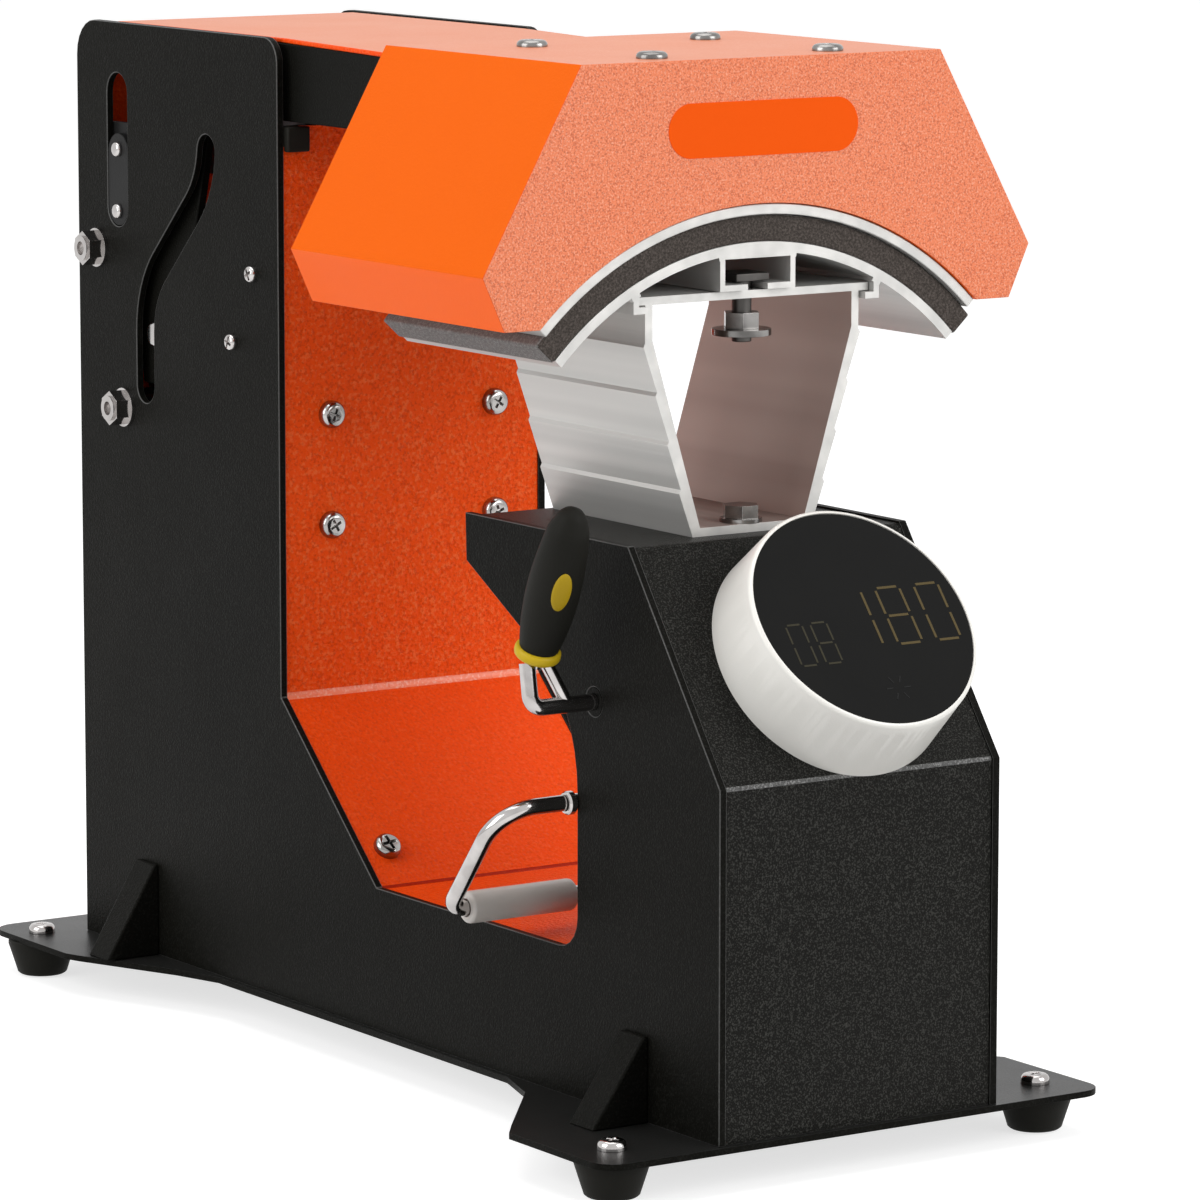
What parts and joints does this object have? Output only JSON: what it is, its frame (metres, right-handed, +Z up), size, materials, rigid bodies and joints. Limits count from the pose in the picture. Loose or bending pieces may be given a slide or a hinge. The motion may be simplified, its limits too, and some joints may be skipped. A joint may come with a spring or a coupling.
{
  "type": "cap heat press",
  "caption": "Cap heat press: curved heated head on a swing arm closes over a padded curved platen on a sheet metal C frame with a round controller.",
  "frame": {"origin": "on the table under the rubber feet, at the middle of the overall width and length", "axes": "+X to the operator's right, +Y from the operator to the back, +Z up"},
  "size_m": [0.199, 0.4222, 0.332],
  "materials": {
    "black_powder": "black fine-textured powder coat, slightly glossy",
    "orange_powder": "orange textured powder coat",
    "head_orange": "orange fine-textured powder coat",
    "black_rubber": "matt black rubber",
    "chrome": "bright chrome plating",
    "zinc_steel": "zinc plated steel",
    "spring_steel": "drawn spring steel",
    "black_plastic": "matt black plastic",
    "circuit_board": "green solder mask",
    "red_plastic": "red glossy plastic",
    "white_plastic": "white satin plastic",
    "display_glass": "black glossy display glass",
    "aluminium": "satin anodised aluminium",
    "bronze": "plain bronze",
    "grey_plastic": "grey plastic",
    "insulation_wool": "pressed ceramic wool",
    "silicone_grey": "dark grey silicone sponge",
    "yellow_plastic": "yellow plastic",
    "roller_tube": "translucent tube"
  },
  "bodies": {
    "frame": {"base_plate": "black_powder", "rubber_feet": "black_rubber", "foot_screws": "chrome", "gussets": "black_powder", "left_side_plate": "black_powder", "right_side_plate": "black_powder", "throat_liner": "orange_powder", "arm_stops": "black_rubber", "front_cover": "black_powder", "pedestal_back": "black_powder", "rear_cover": "orange_powder", "liner_screws": "chrome", "cable_clip": "zinc_steel", "side_screws": "chrome", "side_bolts": "chrome", "tie_rods": "zinc_steel", "spring_shelf": "zinc_steel", "lift_springs": "spring_steel", "magnet_bracket": "zinc_steel", "electromagnet": "zinc_steel", "closing_switch": "black_plastic", "control_board": "circuit_board", "board_standoffs": "zinc_steel", "power_inlet": "black_plastic", "switch_housing": "black_plastic", "controller_housing": "white_plastic", "display_glass": "display_glass", "controller_board": "circuit_board", "platen_stand": "aluminium", "stand_bolts": "zinc_steel", "clamp_bolt": "zinc_steel", "clamp_nut": "zinc_steel", "lever_bushes": "bronze", "bail_bearings": "zinc_steel"},
    "slider": {"slider_blocks": "black_plastic", "slider_screws": "chrome", "pivot_shaft": "chrome", "spring_saddles": "grey_plastic"},
    "head": {"left_arm_plate": "black_powder", "right_arm_plate": "black_powder", "arm_cover": "orange_powder", "cam_shaft": "chrome", "armature": "zinc_steel", "head_housing": "head_orange", "head_hanger": "zinc_steel", "heater_platen": "aluminium", "insulation": "insulation_wool", "head_screws": "chrome"},
    "platen": {"platen_arc": "aluminium", "silicone_pad": "silicone_grey"},
    "lever": {"lever_rod": "chrome", "lever_grip": "black_rubber", "grip_collar": "yellow_plastic", "lever_crank": "zinc_steel"},
    "link": {"tension_link": "zinc_steel"},
    "bail": {"bail_rod": "chrome", "bail_crank": "zinc_steel"},
    "roller_left": {"left_roller": "roller_tube"},
    "roller_right": {"right_roller": "roller_tube"},
    "rocker": {"switch_rocker": "red_plastic"}
  },
  "joints": [
    {"name": "slider_lift", "type": "slide", "parent": "frame", "child": "slider", "axis": [0, 0, 1], "range_m": [0, 0.02]},
    {"name": "head_swing", "type": "hinge", "parent": "slider", "child": "head", "pos_m": [0, 0.16009, 0.2835], "axis": [-1, 0, 0], "range_deg": [0, 58]},
    {"name": "platen_slide", "type": "slide", "parent": "frame", "child": "platen", "axis": [0, -1, 0], "range_m": [0, 0.09]},
    {"name": "lever_pull", "type": "hinge", "parent": "frame", "child": "lever", "pos_m": [0, -0.12671, 0.1374], "axis": [1, 0, 0], "range_deg": [0, 75]},
    {"name": "link_turn", "type": "hinge", "parent": "lever", "child": "link", "pos_m": [0.004, -0.14202, 0.14208], "axis": [1, 0, 0], "range_deg": [-75, 0]},
    {"name": "bail_swing", "type": "hinge", "parent": "frame", "child": "bail", "pos_m": [0, -0.11431, 0.105], "axis": [1, 0, 0], "range_deg": [0, 75]},
    {"name": "left_roller_spin", "type": "hinge", "parent": "bail", "child": "roller_left", "pos_m": [-0.049, -0.08591, 0.07], "axis": [1, 0, 0], "continuous": true},
    {"name": "right_roller_spin", "type": "hinge", "parent": "bail", "child": "roller_right", "pos_m": [0.049, -0.08591, 0.07], "axis": [1, 0, 0], "continuous": true},
    {"name": "rocker_tilt", "type": "hinge", "parent": "frame", "child": "rocker", "pos_m": [0, 0.18409, 0.07275], "axis": [-1, 0, 0], "range_deg": [0, 22]}
  ],
  "couplings": [
    {"joint": "slider_lift", "follows": "head_swing", "m_per_rad": 0.019757},
    {"joint": "link_turn", "follows": "lever_pull", "ratio": -1},
    {"joint": "bail_swing", "follows": "lever_pull", "ratio": 1}
  ]
}
